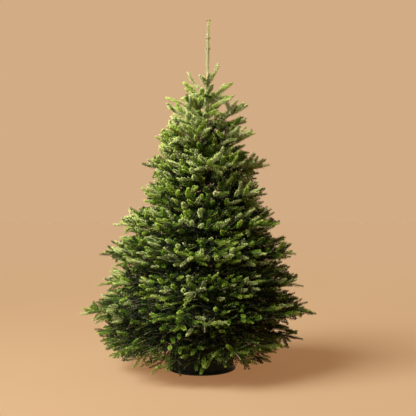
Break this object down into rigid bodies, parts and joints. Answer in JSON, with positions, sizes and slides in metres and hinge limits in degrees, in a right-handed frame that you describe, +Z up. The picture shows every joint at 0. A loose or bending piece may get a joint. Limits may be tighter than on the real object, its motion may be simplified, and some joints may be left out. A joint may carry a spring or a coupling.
{
  "type": "christmas tree",
  "caption": "Undecorated cut fir with a broad cone of dense, upswept needle sprays and a bare leader, upright in a round dark tree stand.",
  "frame": {"origin": "centre of the stand's flat underside, on the floor", "axes": "+Z up along the trunk, -Y towards the front of the tree, +X to its right"},
  "size_m": [1.3802, 1.3831, 2.1],
  "materials": {
    "bark": "rough grey-brown bark, smoother and tanner on the boughs",
    "needles": "dense dark green needles, paler yellow-green at the shoot tips, silvery beneath",
    "young_needles": "pale yellow-green needles pressed to the leader",
    "stand_plastic": "dark green-black moulded plastic, slightly glossy",
    "clamp_metal": "dark painted steel"
  },
  "bodies": {
    "root": {"trunk": "bark", "leader_needles": "young_needles", "stand_tank": "stand_plastic", "stand_clamp": "clamp_metal", "bough_1_1": "bark", "foliage_1_1": "needles", "bough_1_2": "bark", "foliage_1_2": "needles", "bough_1_3": "bark", "foliage_1_3": "needles", "bough_1_4": "bark", "foliage_1_4": "needles", "bough_1_5": "bark", "foliage_1_5": "needles", "bough_1_6": "bark", "foliage_1_6": "needles", "bough_2_1": "bark", "foliage_2_1": "needles", "bough_2_2": "bark", "foliage_2_2": "needles", "bough_2_3": "bark", "foliage_2_3": "needles", "bough_2_4": "bark", "foliage_2_4": "needles", "bough_2_5": "bark", "foliage_2_5": "needles", "foliage_3_1": "needles", "foliage_3_2": "needles", "foliage_3_3": "needles", "foliage_3_4": "needles", "foliage_3_5": "needles", "foliage_4_1": "needles", "foliage_4_2": "needles", "foliage_4_3": "needles", "foliage_4_4": "needles", "foliage_4_5": "needles", "foliage_5_1": "needles", "foliage_5_2": "needles", "foliage_5_3": "needles", "foliage_5_4": "needles", "foliage_5_5": "needles", "foliage_6_1": "needles", "foliage_6_2": "needles", "foliage_6_3": "needles", "foliage_6_4": "needles", "foliage_7_1": "needles", "foliage_7_2": "needles", "foliage_7_3": "needles", "foliage_7_4": "needles", "foliage_8_1": "needles", "foliage_8_2": "needles", "foliage_8_3": "needles", "foliage_8_4": "needles", "foliage_9_1": "needles", "foliage_9_2": "needles", "foliage_9_3": "needles", "foliage_10_1": "needles", "foliage_10_2": "needles", "foliage_10_3": "needles"}
  },
  "joints": []
}
